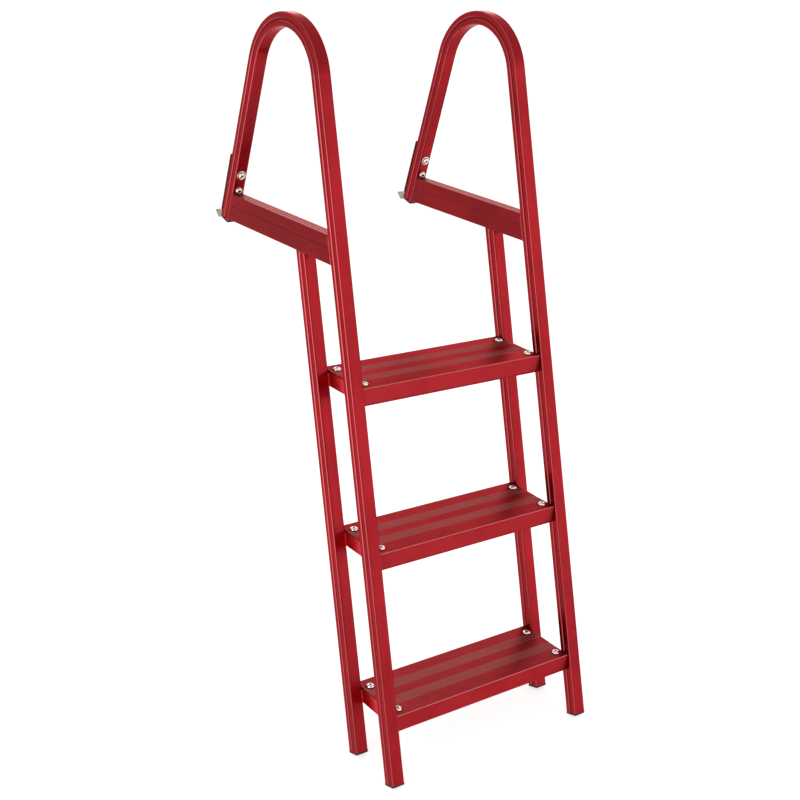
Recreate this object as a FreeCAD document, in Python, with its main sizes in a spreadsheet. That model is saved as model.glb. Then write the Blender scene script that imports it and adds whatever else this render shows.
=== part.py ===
import FreeCAD, Part
import Sketcher
import math
import os

# A dock ladder: two bent handrails with a hoop at the top, two rear rails,
# two deck bars, three treads on cross tubes, and two hooked mounting plates.
# Millimetres. The origin is the middle of the left mounting plate's back face.
# +X runs to the right, +Y towards the dock, +Z up, and the treads are level.

document = FreeCAD.newDocument("DockLadder")
sizes = document.addObject("Spreadsheet::Sheet", "Sizes")

DRIVING_SIZES = [
    ("lean", 15.5),                 # degrees between the rails and the vertical
    ("rail_size", 27),              # square outside size of the rail
    ("rail_wall", 2),
    ("rail_corner", 4),
    ("groove_mouth", 6.5),          # groove along the middle of each side face
    ("groove_bottom", 2.6),
    ("groove_depth", 1.6),
    ("ladder_width", 472),          # outside to outside
    ("rail_spacing", 112.5),        # front rail to rear rail, same face to same face
    ("front_foot", 122),            # front rail below the lowest tread, along the rail
    ("hoop_height", 1157),          # hoop centre above the lowest tread, along the rail
    ("hoop_radius", 126),           # outside radius of the hoop
    ("bar_rise", 786.7),            # underside of the deck bar above the lowest tread
    ("leg_below_bar", 3.9),         # hoop's rear leg below the bar, along the leg
    ("bar_height", 52.5),
    ("bar_wall", 2.2),
    ("bar_corner", 2.5),
    ("bar_line_rise", 30.5),        # side line of the bar above its underside
    ("bar_line_width", 2),
    ("bar_line_depth", 1),
    ("bar_top_spacing", 8.5),       # between the two lines along the bar's top
    ("tread_count", 3),
    ("tread_spacing", 300),         # tread to tread, along the rail
    ("tread_depth", 131.5),
    ("tread_front", 36),            # height of the tread's front face
    ("tread_rear", 22),             # height of its rear flange
    ("tread_plate", 3.4),
    ("tread_lip", 11),              # return under the front face
    ("nose_radius", 1.5),
    ("toe_radius", 6),
    ("tread_setback", 4.5),         # tread's front edge behind the rail's front face
    ("side_gap", 0.3),              # between a tread's end and the rail
    ("front_ribs", 35),             # first non-slip groove behind the front edge
    ("rear_ribs", 81),
    ("rib_count", 7),
    ("rib_pitch", 3.2),
    ("rib_width", 1.6),
    ("rib_depth", 0.6),
    ("tube_bevel", 1.5),
    ("bolt_inset", 16),             # tread bolt from the tread's end
    ("front_bolt", 19.5),           # from the tread's front edge
    ("bolt_pitch", 88),
    ("head_radius", 7.8),
    ("head_height", 4),
    ("head_bevel", 1.6),
    ("shank_radius", 3),
    ("shank_length", 14),
    ("hole_clearance", 0.3),
    ("recess_radius", 2.6),
    ("recess_depth", 2.4),
    ("cap_thickness", 3),
    ("cap_bevel", 2),
    ("plug_length", 14),
    ("plug_clearance", 0.3),
    ("plate_length", 120),
    ("plate_thickness", 3),
    ("plate_bevel", 1.5),
    ("plate_rise", 72),             # plate's middle above the end of the leg
    ("bolt_above_bar", 7.7),        # lower plate bolt above the bar, along the leg
    ("plate_bolt_pitch", 33),
    ("upper_washer_radius", 9.2),
    ("lower_washer_radius", 6.9),
    ("washer_thickness", 1.2),
    ("plate_head_radius", 6.5),
    ("lug_reach", 21),              # hook lug's tip behind the plate
    ("lug_tip", 12),                # its places below the plate's lower end
    ("lug_foot", 21),
    ("lug_root", 11.5),
    ("lug_foot_reach", 5),
]

for row, (alias, value) in enumerate(DRIVING_SIZES, start=1):
    cell = "A%d" % row
    sizes.set(cell, str(value))
    sizes.setAlias(cell, alias)
document.recompute()

X_AXIS = FreeCAD.Vector(1, 0, 0)
START, END = 1, 2                   # ends of an edge in a sketch
HEAD_SIDES = 12
SHANK_SIDES = 8
SOCKET_SIDES = 6

# The ladder's datum lies on the rails' front face, level with the top of the
# lowest tread. These two give the hoop's centre from there.
HOOP_BACK = "(Sizes.hoop_radius * cos(Sizes.lean) + Sizes.hoop_height * sin(Sizes.lean))"
HOOP_RISE = "(Sizes.hoop_height * cos(Sizes.lean) - Sizes.hoop_radius * sin(Sizes.lean))"


def down_the_leg(height):
    """From the end of the bend down the leg's front face to a height above the datum."""
    return ("((%s - %s + (Sizes.hoop_radius - Sizes.rail_size) * sin(Sizes.lean))"
            " / cos(Sizes.lean))" % (HOOP_RISE, height))


# Places along the leg: its end just below the deck bar, the plate's middle
# above that end, and the plate's bolts above the bar, from the plate's middle.
LEG_LENGTH = "(%s + Sizes.leg_below_bar)" % down_the_leg("Sizes.bar_rise")
PLATE_OFFSET = "(%s - Sizes.plate_rise)" % LEG_LENGTH
LOWER_BOLT = ("(%s - %s + Sizes.bolt_above_bar)"
              % (PLATE_OFFSET, down_the_leg("(Sizes.bar_rise + Sizes.bar_height)")))
UPPER_BOLT = "(%s + Sizes.plate_bolt_pitch)" % LOWER_BOLT

# The origin is at the plate's middle, so the hoop and the datum are placed from it.
HOOP_Y = ("(-(Sizes.hoop_radius + Sizes.plate_thickness) * cos(Sizes.lean)"
          " - %s * sin(Sizes.lean))" % PLATE_OFFSET)
HOOP_Z = ("(-(Sizes.hoop_radius + Sizes.plate_thickness) * sin(Sizes.lean)"
          " + %s * cos(Sizes.lean))" % PLATE_OFFSET)
DATUM_Y = "(%s - %s)" % (HOOP_Y, HOOP_BACK)
DATUM_Z = "(%s - %s)" % (HOOP_Z, HOOP_RISE)

LEFT_RAIL = "0"
RIGHT_RAIL = "(Sizes.ladder_width - Sizes.rail_size)"
MIDDLE = "(Sizes.ladder_width - Sizes.rail_size) / 2"
SIDE_LEFT = "(-Sizes.rail_size / 2)"
SIDE_RIGHT = "(Sizes.rail_size / 2)"
BEND = "(2 * Sizes.lean)"
BEND_RADIUS = "(Sizes.hoop_radius - Sizes.rail_size / 2)"
REAR_FOOT = "(Sizes.front_foot - Sizes.rail_spacing * tan(Sizes.lean))"
HOLE_RADIUS = "(Sizes.shank_radius + Sizes.hole_clearance)"
HOLE_CORNER = "(%s / cos(180 / %d))" % (HOLE_RADIUS, SHANK_SIDES)
BOLT_REACH = "(Sizes.ladder_width / 2 - Sizes.rail_size - Sizes.bolt_inset)"
REAR_BOLT = "(Sizes.front_bolt + Sizes.bolt_pitch)"


def number(formula):
    """The value of a formula over the sheet's sizes."""
    return float(sizes.evalExpression(formula))


def place(piece, across, back, up, turn="0"):
    """Puts a piece at three formulas, turned about the X axis by a fourth."""
    piece.Placement = FreeCAD.Placement(FreeCAD.Vector(), FreeCAD.Rotation(X_AXIS, 10))
    piece.setExpression("Placement.Base.x", across)
    piece.setExpression("Placement.Base.y", back)
    piece.setExpression("Placement.Base.z", up)
    piece.setExpression("Placement.Rotation.Angle", turn)


def place_leaning(piece, across, behind="0"):
    """Frame of the rails: Z up along the rail, Y square to it, from the datum."""
    place(piece, across,
          "%s + %s * cos(Sizes.lean)" % (DATUM_Y, behind),
          "%s - %s * sin(Sizes.lean)" % (DATUM_Z, behind),
          "360 - Sizes.lean")


def place_on_leg(piece, across, out="0", along="0", turn="Sizes.lean"):
    """Frame of the hoop's rear leg: Z up along it, Y out of its back, from the
    middle of the plate's back face."""
    place(piece, across,
          "%s * cos(Sizes.lean) - %s * sin(Sizes.lean)" % (out, along),
          "%s * sin(Sizes.lean) + %s * cos(Sizes.lean)" % (out, along),
          turn)


def place_at_tread(piece, across, step, behind="0"):
    """Level frame of one tread: from its front edge, at the top."""
    climb = "(%d * Sizes.tread_spacing)" % step
    place(piece, across,
          "%s + %s * sin(Sizes.lean) + Sizes.tread_setback * cos(Sizes.lean) + %s"
          % (DATUM_Y, climb, behind),
          "%s + %s * cos(Sizes.lean) - Sizes.tread_setback * sin(Sizes.lean)"
          % (DATUM_Z, climb))


def new_body(label):
    body = document.addObject("PartDesign::Body", label)
    body.Label = label
    return body


def origin_part(body, role):
    """One of the body's own planes or axes."""
    return [item for item in body.Origin.OriginFeatures if item.Role == role][0]


def new_sketch(body, name, plane, offset="0"):
    """A sketch on one of the body's own planes, moved along the plane's normal."""
    sketch = body.newObject("Sketcher::SketchObject", name)
    sketch.AttachmentSupport = [(origin_part(body, plane), "")]
    sketch.MapMode = "FlatFace"
    sketch.setExpression("AttachmentOffset.Base.z", offset)
    return sketch


def pin_point(sketch, geometry, end, label, across, up):
    """Ties one end of an edge to two formulas measured from the sketch's origin."""
    for kind, formula in (("DistanceX", across), ("DistanceY", up)):
        limit = Sketcher.Constraint(kind, -1, 1, geometry, end, number(formula))
        index = sketch.addConstraint(limit)
        name = "%s_%s" % (label, kind)
        sketch.renameConstraint(index, name)
        sketch.setExpression("Constraints." + name, formula)


def draw_arc(sketch, name, start, finish, corner):
    """Adds an arc about the corner's centre. Returns its first and last end."""
    centre = FreeCAD.Vector(number(corner[3]), number(corner[4]), 0)
    from_centre = start - centre
    to_centre = finish - centre
    begin = math.atan2(from_centre.y, from_centre.x)
    stop = math.atan2(to_centre.y, to_centre.x)
    circle = Part.Circle(centre, FreeCAD.Vector(0, 0, 1), from_centre.Length)
    if from_centre.cross(to_centre).z > 0:
        ends = (START, END)
        arc = Part.ArcOfCircle(circle, begin, stop)
    else:
        ends = (END, START)
        arc = Part.ArcOfCircle(circle, stop, begin)
    geometry = sketch.addGeometry(arc, False)
    index = sketch.addConstraint(Sketcher.Constraint("Radius", geometry, from_centre.Length))
    sketch.renameConstraint(index, name)
    sketch.setExpression("Constraints." + name, corner[2])
    return ends


def draw(sketch, label, corners, closed=True):
    """Draws edges through corners. A corner is (x, y), or (x, y, radius, cx, cy)
    where an arc about (cx, cy) leads to it from the corner before."""
    points = [FreeCAD.Vector(number(c[0]), number(c[1]), 0) for c in corners]
    first_new = sketch.GeometryCount
    steps = len(corners) if closed else len(corners) - 1
    ends = []
    for step in range(steps):
        target = (step + 1) % len(corners)
        if len(corners[target]) == 2:
            sketch.addGeometry(Part.LineSegment(points[step], points[target]), False)
            ends.append((START, END))
        else:
            name = "%s_radius_%d" % (label, step)
            ends.append(draw_arc(sketch, name, points[step], points[target], corners[target]))
    for step in range(steps):
        pin_point(sketch, first_new + step, ends[step][0], "%s_%d" % (label, step),
                  corners[step][0], corners[step][1])
        if closed or step + 1 < steps:
            follower = (step + 1) % steps
            sketch.addConstraint(Sketcher.Constraint(
                "Coincident", first_new + step, ends[step][1],
                first_new + follower, ends[follower][0]))
    if not closed:
        pin_point(sketch, first_new + steps - 1, ends[-1][1], label + "_end",
                  corners[-1][0], corners[-1][1])


def box(left, right, low, high):
    return [(left, low), (right, low), (right, high), (left, high)]


def inset_corners(left, right, low, high, inset):
    """The four lines that lie one inset inside a box, as formulas."""
    return ("(%s + %s)" % (left, inset), "(%s - %s)" % (right, inset),
            "(%s + %s)" % (low, inset), "(%s - %s)" % (high, inset))


def rounded_box(left, right, low, high, radius):
    """Box outline with round corners, anticlockwise from the low left corner."""
    near, far, bottom, top = inset_corners(left, right, low, high, radius)
    return [
        (near, low, radius, near, bottom),
        (far, low),
        (right, bottom, radius, far, bottom),
        (right, top),
        (far, high, radius, far, top),
        (near, high),
        (left, top, radius, near, top),
        (left, bottom),
    ]


def bevelled_box(left, right, low, high, bevel):
    near, far, bottom, top = inset_corners(left, right, low, high, bevel)
    return [(near, low), (far, low), (right, bottom), (right, top),
            (far, high), (near, high), (left, top), (left, bottom)]


def side_groove(face, floor, middle, mouth, bottom):
    """Groove in an upright face, from its low edge to its high one."""
    return [
        (face, "(%s - %s / 2)" % (middle, mouth)),
        (floor, "(%s - %s / 2)" % (middle, bottom)),
        (floor, "(%s + %s / 2)" % (middle, bottom)),
        (face, "(%s + %s / 2)" % (middle, mouth)),
    ]


def top_groove(face, middle, width, depth):
    """Groove in a level face, from its right edge to its left one."""
    right = "(%s + %s / 2)" % (middle, width)
    left = "(%s - %s / 2)" % (middle, width)
    floor = "(%s - %s)" % (face, depth)
    return [(right, face), (right, floor), (left, floor), (left, face)]


def eight_sided_hole(sketch, label, across, up):
    """Clearance hole round a bolt's shank, drawn with as many sides as the shank."""
    corners = []
    for side in range(SHANK_SIDES):
        angle = 360 * side / SHANK_SIDES
        corners.append(("(%s + %s * cos(%s))" % (across, HOLE_CORNER, angle),
                        "(%s + %s * sin(%s))" % (up, HOLE_CORNER, angle)))
    draw(sketch, label, corners)


def rail_section(sketch):
    """Hollow rail, alike from both faces so that it looks the same on either
    side of the bend. Each side wall steps inward behind its groove."""
    middle = "(Sizes.rail_size / 2)"
    depth = "Sizes.groove_depth"
    outline = rounded_box(SIDE_LEFT, SIDE_RIGHT, "0", "Sizes.rail_size", "Sizes.rail_corner")
    right = side_groove(SIDE_RIGHT, "(%s - %s)" % (SIDE_RIGHT, depth), middle,
                        "Sizes.groove_mouth", "Sizes.groove_bottom")
    left = side_groove(SIDE_LEFT, "(%s + %s)" % (SIDE_LEFT, depth), middle,
                       "Sizes.groove_mouth", "Sizes.groove_bottom")
    draw(sketch, "outside", outline[:3] + right + outline[3:7] + left[::-1] + outline[7:])

    near, far, bottom, top = inset_corners(SIDE_LEFT, SIDE_RIGHT, "0", "Sizes.rail_size",
                                           "Sizes.rail_wall")
    ridge_foot = "(Sizes.groove_mouth + 2 * %s)" % depth
    inner_right = side_groove(far, "(%s - %s)" % (far, depth), middle,
                              ridge_foot, "Sizes.groove_mouth")
    inner_left = side_groove(near, "(%s + %s)" % (near, depth), middle,
                             ridge_foot, "Sizes.groove_mouth")
    draw(sketch, "inside", [(near, bottom), (far, bottom)] + inner_right
         + [(far, top), (near, top)] + inner_left[::-1])


def pad(body, sketch, length, symmetric=False, name="Pad"):
    feature = body.newObject("PartDesign::Pad", name)
    feature.Profile = sketch
    if symmetric:
        feature.SideType = "Symmetric"
    feature.setExpression("Length", length)
    document.recompute()
    return feature


def cut_both_ways(body, sketch, width, name="Cut"):
    """Cuts an outline out of the body, equally to both sides of its sketch."""
    before = body.Shape.Volume
    feature = body.newObject("PartDesign::Pocket", name)
    feature.Profile = sketch
    feature.SideType = "Symmetric"
    feature.setExpression("Length", width)
    document.recompute()
    if not body.Shape.Volume < before:
        raise ValueError(body.Label + ": " + name + " removes nothing")
    return feature


def prism(body, kind, name, sides, corner_radius, height, start):
    """Straight prism about the body's Z axis, from one height upward."""
    feature = body.newObject("PartDesign::" + kind, name)
    feature.Polygon = sides
    feature.setExpression("Circumradius", corner_radius)
    feature.setExpression("Height", height)
    feature.setExpression("Placement.Base.z", start)
    document.recompute()
    return feature


def repeat(body, name, axis, length, count="2", original=None):
    """Repeats one feature, or all that the body holds, along one of its axes."""
    pattern = body.newObject("PartDesign::LinearPattern", name)
    if original is None:
        pattern.TransformMode = "Whole shape"
    else:
        pattern.Originals = [original]
    pattern.Direction = (origin_part(body, axis), [""])
    pattern.Mode = "Extent"
    pattern.setExpression("Length", length)
    pattern.setExpression("Occurrences", count)
    body.Tip = pattern
    document.recompute()
    return pattern


def leg_point(along, out="0"):
    """A point of the hoop's rear leg in the rails' frame: along the leg from the
    end of the bend, and out from the leg's centre line."""
    return (
        "(Sizes.hoop_radius + (%s + %s) * cos(%s) + %s * sin(%s))"
        % (BEND_RADIUS, out, BEND, along, BEND),
        "(Sizes.hoop_height + (%s + %s) * sin(%s) - %s * cos(%s))"
        % (BEND_RADIUS, out, BEND, along, BEND),
    )


def handrail(label, across):
    """Front rail, hoop and the hoop's rear leg, bent from one length of rail."""
    body = new_body(label)
    section = new_sketch(body, "Section", "XY_Plane", "-Sizes.front_foot")
    rail_section(section)
    route = new_sketch(body, "Route", "YZ_Plane")
    bend_end = leg_point("0")
    draw(route, "route", [
        ("(Sizes.rail_size / 2)", "-Sizes.front_foot"),
        ("(Sizes.rail_size / 2)", "Sizes.hoop_height"),
        bend_end + (BEND_RADIUS, "Sizes.hoop_radius", "Sizes.hoop_height"),
        leg_point(LEG_LENGTH),
    ], closed=False)
    document.recompute()
    sweep = body.newObject("PartDesign::AdditivePipe", "Sweep")
    sweep.Profile = section
    sweep.Spine = (route, ["Edge1", "Edge2", "Edge3"])
    document.recompute()

    holes = new_sketch(body, "BoltHoleOutlines", "YZ_Plane")
    upper = "(%s - %s)" % (PLATE_OFFSET, UPPER_BOLT)
    lower = "(%s - %s)" % (PLATE_OFFSET, LOWER_BOLT)
    for name, along in (("upper", upper), ("lower", lower)):
        start = "(%s - %s)" % (along, HOLE_RADIUS)
        stop = "(%s + %s)" % (along, HOLE_RADIUS)
        front, back = "(-Sizes.rail_size)", "Sizes.rail_size"
        draw(holes, name, [leg_point(start, front), leg_point(stop, front),
                           leg_point(stop, back), leg_point(start, back)])
    cut_both_ways(body, holes, "2 * " + HOLE_RADIUS, "BoltHoles")
    place_leaning(body, across)
    return body


def rear_rail_top(behind):
    """Where the underside of the deck bar meets a line of the rear rail."""
    return "((Sizes.bar_rise + %s * sin(Sizes.lean)) / cos(Sizes.lean))" % behind


def rear_rail(label, across):
    """Rear rail, cut level where it meets the underside of the deck bar."""
    body = new_body(label)
    section = new_sketch(body, "Section", "XY_Plane", "-" + REAR_FOOT)
    rail_section(section)
    front_top = rear_rail_top("Sizes.rail_spacing")
    rear_top = rear_rail_top("(Sizes.rail_spacing + Sizes.rail_size)")
    pad(body, section, "%s + %s" % (rear_top, REAR_FOOT))
    wedge = new_sketch(body, "Wedge", "YZ_Plane")
    draw(wedge, "wedge", [("0", front_top), ("Sizes.rail_size", rear_top), ("0", rear_top)])
    cut_both_ways(body, wedge, "2 * Sizes.rail_size", "LevelTop")
    place_leaning(body, across, "Sizes.rail_spacing")
    return body


def front_rail_back(height):
    """Back face of the front rail at a height above the datum."""
    return "(Sizes.rail_size / cos(Sizes.lean) + %s * tan(Sizes.lean))" % height


def leg_front(height):
    """Front face of the hoop's rear leg at a height above the datum."""
    return ("(%s + (Sizes.hoop_radius - Sizes.rail_size) / cos(Sizes.lean)"
            " + (%s - %s) * tan(Sizes.lean))" % (HOOP_BACK, HOOP_RISE, height))


def deck_bar(label, across):
    """Level bar between the front rail and the hoop's rear leg, mitred to both."""
    body = new_body(label)
    low = "Sizes.bar_rise"
    high = "(Sizes.bar_rise + Sizes.bar_height)"
    front_low, front_high = front_rail_back(low), front_rail_back(high)
    rear_low, rear_high = leg_front(low), leg_front(high)
    middle = "-(%s + %s) / 2" % (front_low, rear_low)
    section = new_sketch(body, "Section", "XZ_Plane", middle)
    line_rise = "(Sizes.bar_rise + Sizes.bar_line_rise)"
    width, depth = "Sizes.bar_line_width", "Sizes.bar_line_depth"
    right_line = side_groove(SIDE_RIGHT, "(%s - %s)" % (SIDE_RIGHT, depth), line_rise, width, width)
    left_line = side_groove(SIDE_LEFT, "(%s + %s)" % (SIDE_LEFT, depth), line_rise, width, width)
    top_right = top_groove(high, "(Sizes.bar_top_spacing / 2)", width, depth)
    top_left = top_groove(high, "(-Sizes.bar_top_spacing / 2)", width, depth)
    outline = rounded_box(SIDE_LEFT, SIDE_RIGHT, low, high, "Sizes.bar_corner")
    draw(section, "outside", outline[:3] + right_line + outline[3:5] + top_right + top_left
         + outline[5:7] + left_line[::-1] + outline[7:])
    draw(section, "inside", box(*inset_corners(SIDE_LEFT, SIDE_RIGHT, low, high, "Sizes.bar_wall")))
    pad(body, section, "%s - %s" % (rear_low, front_low), symmetric=True)
    front_wedge = new_sketch(body, "FrontWedge", "YZ_Plane")
    draw(front_wedge, "wedge", [(front_low, low), (front_high, high), (front_low, high)])
    cut_both_ways(body, front_wedge, "2 * Sizes.rail_size", "FrontMitre")
    rear_wedge = new_sketch(body, "RearWedge", "YZ_Plane")
    draw(rear_wedge, "wedge", [(rear_low, low), (rear_low, high), (rear_high, high)])
    cut_both_ways(body, rear_wedge, "2 * Sizes.rail_size", "RearMitre")
    place(body, across, DATUM_Y, DATUM_Z)
    return body


def tread(label, step):
    """Channel with a round nose, open below, with two bands of non-slip grooves."""
    body = new_body(label)
    section = new_sketch(body, "Section", "YZ_Plane")
    plate = "Sizes.tread_plate"
    nose, toe = "Sizes.nose_radius", "Sizes.toe_radius"
    bottom = "(-Sizes.tread_front)"
    rear_bottom = "(-Sizes.tread_rear)"
    rear_inside = "(Sizes.tread_depth - %s)" % plate
    draw(section, "channel", [
        (nose, "0", nose, nose, "(-%s)" % nose),
        ("Sizes.tread_depth", "0"),
        ("Sizes.tread_depth", rear_bottom),
        (rear_inside, rear_bottom),
        (rear_inside, "(-%s)" % plate),
        (plate, "(-%s)" % plate),
        (plate, "(%s + %s)" % (bottom, plate)),
        ("Sizes.tread_lip", "(%s + %s)" % (bottom, plate)),
        ("Sizes.tread_lip", bottom),
        (toe, bottom),
        ("0", "(%s + %s)" % (bottom, toe), toe, toe, "(%s + %s)" % (bottom, toe)),
        ("0", "(-%s)" % nose),
    ])
    pad(body, section, "Sizes.ladder_width - 2 * Sizes.rail_size - 2 * Sizes.side_gap", symmetric=True)

    grooves = new_sketch(body, "Grooves", "YZ_Plane")
    for name, start in (("front", "Sizes.front_ribs"), ("rear", "Sizes.rear_ribs")):
        draw(grooves, name, box(start, "(%s + Sizes.rib_width)" % start, "-Sizes.rib_depth", "0"))
    first_grooves = cut_both_ways(body, grooves, "Sizes.ladder_width", "FirstGrooves")
    repeat(body, "Ribs", "Y_Axis", "(Sizes.rib_count - 1) * Sizes.rib_pitch",
           "Sizes.rib_count", first_grooves)

    holes = new_sketch(body, "Holes", "XY_Plane")
    for side, across in (("left", "(-%s)" % BOLT_REACH), ("right", BOLT_REACH)):
        eight_sided_hole(holes, side + "_front", across, "Sizes.front_bolt")
        eight_sided_hole(holes, side + "_rear", across, REAR_BOLT)
    cut_both_ways(body, holes, "Sizes.tread_front", "BoltHoles")
    place_at_tread(body, MIDDLE, step)
    return body


def cross_tube(label, step, side):
    """Square tube under a tread's end, against the front and rear rails' inner faces."""
    body = new_body(label)
    front = "(Sizes.tread_plate + Sizes.side_gap)"
    rear = "(Sizes.tread_depth - Sizes.tread_plate - Sizes.side_gap)"
    top = "(-Sizes.tread_plate)"
    low = "(-Sizes.tread_plate - Sizes.rail_size)"
    section = new_sketch(body, "Section", "XZ_Plane", "-(%s + %s) / 2" % (front, rear))
    draw(section, "outside", bevelled_box(SIDE_LEFT, SIDE_RIGHT, low, top, "Sizes.tube_bevel"))
    draw(section, "inside", box(*inset_corners(SIDE_LEFT, SIDE_RIGHT, low, top, "Sizes.rail_wall")))
    pad(body, section, "%s - %s" % (rear, front), symmetric=True)
    holes = new_sketch(body, "Holes", "XY_Plane", top)
    bolt_x = "(%d * (Sizes.rail_size / 2 - Sizes.bolt_inset))" % side
    eight_sided_hole(holes, "front", bolt_x, "Sizes.front_bolt")
    eight_sided_hole(holes, "rear", bolt_x, REAR_BOLT)
    cut_both_ways(body, holes, "Sizes.rail_size", "BoltHoles")
    across = LEFT_RAIL + " + Sizes.rail_size" if side < 0 else RIGHT_RAIL + " - Sizes.rail_size"
    place_at_tread(body, across, step)
    return body


def bolt(body, head_radius, shank_length):
    """Round-headed socket bolt along the body's Z axis, seated at its origin."""
    head = prism(body, "AdditivePrism", "Head", HEAD_SIDES, head_radius, "Sizes.head_height", "0")
    heights = [face.CenterOfMass.z for face in head.Shape.Faces]
    crown = "Face%d" % (heights.index(max(heights)) + 1)
    bevel = body.newObject("PartDesign::Chamfer", "Bevel")
    bevel.Base = (head, [crown])
    bevel.setExpression("Size", "Sizes.head_bevel")
    document.recompute()
    prism(body, "AdditivePrism", "Shank", SHANK_SIDES, "Sizes.shank_radius",
          shank_length, "-" + shank_length)
    prism(body, "SubtractivePrism", "Socket", SOCKET_SIDES, "Sizes.recess_radius",
          "Sizes.recess_depth", "Sizes.head_height - Sizes.recess_depth")


def tread_bolts(label, step):
    body = new_body(label)
    bolt(body, "Sizes.head_radius", "Sizes.shank_length")
    repeat(body, "Across", "X_Axis", "2 * " + BOLT_REACH)
    repeat(body, "Back", "Y_Axis", "Sizes.bolt_pitch")
    place_at_tread(body, "%s - %s" % (MIDDLE, BOLT_REACH), step, "Sizes.front_bolt")
    return body


def end_cap(label, low):
    """Moulded cap with a plug that goes up inside the rail's end."""
    body = new_body(label)
    flange = new_sketch(body, "Flange", "XY_Plane", "(%s - Sizes.cap_thickness)" % low)
    draw(flange, "flange",
         bevelled_box(SIDE_LEFT, SIDE_RIGHT, "0", "Sizes.rail_size", "Sizes.cap_bevel"))
    pad(body, flange, "Sizes.cap_thickness", name="FlangePad")
    plug = new_sketch(body, "Plug", "XY_Plane", "(%s - Sizes.cap_thickness / 2)" % low)
    inset = "(Sizes.rail_wall + Sizes.plug_clearance)"
    side_inset = "(%s + Sizes.groove_depth)" % inset
    draw(plug, "plug", box("(%s + %s)" % (SIDE_LEFT, side_inset), "(%s - %s)" % (SIDE_RIGHT, side_inset),
                           inset, "(Sizes.rail_size - %s)" % inset))
    pad(body, plug, "Sizes.plug_length + Sizes.cap_thickness / 2", name="PlugPad")
    return body


def front_foot_cap(label, across):
    body = end_cap(label, "-Sizes.front_foot")
    place_leaning(body, across)
    return body


def rear_foot_cap(label, across):
    body = end_cap(label, "-" + REAR_FOOT)
    place_leaning(body, across, "Sizes.rail_spacing")
    return body


def hoop_end_cap(label, across):
    body = end_cap(label, "(-Sizes.plate_rise)")
    place_on_leg(body, across, "-(Sizes.plate_thickness + Sizes.rail_size)")
    return body


def mounting_plate(label, across):
    """Flat plate behind the hoop's leg, whose back face bears on the dock."""
    body = new_body(label)
    outline = new_sketch(body, "Outline", "XZ_Plane", "Sizes.plate_thickness / 2")
    half = "(Sizes.plate_length / 2)"
    draw(outline, "plate", bevelled_box(SIDE_LEFT, SIDE_RIGHT, "(-%s)" % half, half, "Sizes.plate_bevel"))
    pad(body, outline, "Sizes.plate_thickness", symmetric=True)
    holes = new_sketch(body, "Holes", "XZ_Plane")
    eight_sided_hole(holes, "upper", "0", UPPER_BOLT)
    eight_sided_hole(holes, "lower", "0", LOWER_BOLT)
    cut_both_ways(body, holes, "Sizes.rail_size", "BoltHoles")
    place_on_leg(body, across)
    return body


def hook_lug(label, across):
    """Wedge behind the leg's lower end that catches in the dock's socket."""
    body = new_body(label)
    outline = new_sketch(body, "Outline", "YZ_Plane")
    top = "(-Sizes.plate_length / 2)"
    leg_back = "(-Sizes.plate_thickness)"
    draw(outline, "lug", [
        (leg_back, top),
        ("0", top),
        ("Sizes.lug_reach", "(%s - Sizes.lug_tip)" % top),
        ("Sizes.lug_foot_reach", "(%s - Sizes.lug_foot)" % top),
        (leg_back, "(%s - Sizes.lug_root)" % top),
    ])
    pad(body, outline, "Sizes.rail_size", symmetric=True)
    place_on_leg(body, across)
    return body


def place_at_plate_bolts(body, across, out):
    """Frame of the lower plate bolt: Z out of the leg's front, Y up along the leg."""
    place_on_leg(body, across, out, LOWER_BOLT, "Sizes.lean + 90")


def plate_bolts(label, across):
    """Two bolts from the front of the leg into the plate."""
    body = new_body(label)
    seat = "(Sizes.plate_thickness + Sizes.rail_size + Sizes.washer_thickness)"
    bolt(body, "Sizes.plate_head_radius", "(%s - Sizes.hole_clearance)" % seat)
    repeat(body, "Pair", "Y_Axis", "Sizes.plate_bolt_pitch")
    place_at_plate_bolts(body, across, "-" + seat)
    return body


def washer(body, name, corner_radius, along):
    """Flat ring on the leg, at a height above the lower plate bolt."""
    disc = prism(body, "AdditivePrism", name + "Disc", HEAD_SIDES, corner_radius,
                 "Sizes.washer_thickness", "0")
    disc.setExpression("Placement.Base.y", along)
    bore = prism(body, "SubtractivePrism", name + "Bore", SHANK_SIDES, HOLE_CORNER,
                 "Sizes.washer_thickness", "0")
    bore.setExpression("Placement.Base.y", along)
    document.recompute()


def plate_washers(label, across):
    """Wide washer under the upper bolt, and a small one just above the deck bar."""
    body = new_body(label)
    washer(body, "Lower", "Sizes.lower_washer_radius", "0")
    washer(body, "Upper", "Sizes.upper_washer_radius", "Sizes.plate_bolt_pitch")
    place_at_plate_bolts(body, across, "-(Sizes.plate_thickness + Sizes.rail_size)")
    return body


pieces = []
for side, across in (("left", LEFT_RAIL), ("right", RIGHT_RAIL)):
    pieces.append(handrail(side + "_handrail", across))
    pieces.append(rear_rail(side + "_rear_rail", across))
    pieces.append(deck_bar(side + "_deck_bar", across))
    pieces.append(front_foot_cap("front_" + side + "_foot_cap", across))
    pieces.append(rear_foot_cap("rear_" + side + "_foot_cap", across))
    pieces.append(hoop_end_cap(side + "_hoop_end_cap", across))
    pieces.append(mounting_plate(side + "_mounting_plate", across))
    pieces.append(hook_lug(side + "_hook_lug", across))
    pieces.append(plate_bolts(side + "_plate_bolts", across))
    pieces.append(plate_washers(side + "_plate_washers", across))

STEP_NAMES = ["lower", "middle", "upper"]
for step in range(int(number("Sizes.tread_count"))):
    step_name = STEP_NAMES[step]
    pieces.append(tread(step_name + "_tread", step))
    pieces.append(tread_bolts(step_name + "_tread_bolts", step))
    pieces.append(cross_tube(step_name + "_left_cross_tube", step, -1))
    pieces.append(cross_tube(step_name + "_right_cross_tube", step, 1))

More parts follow.
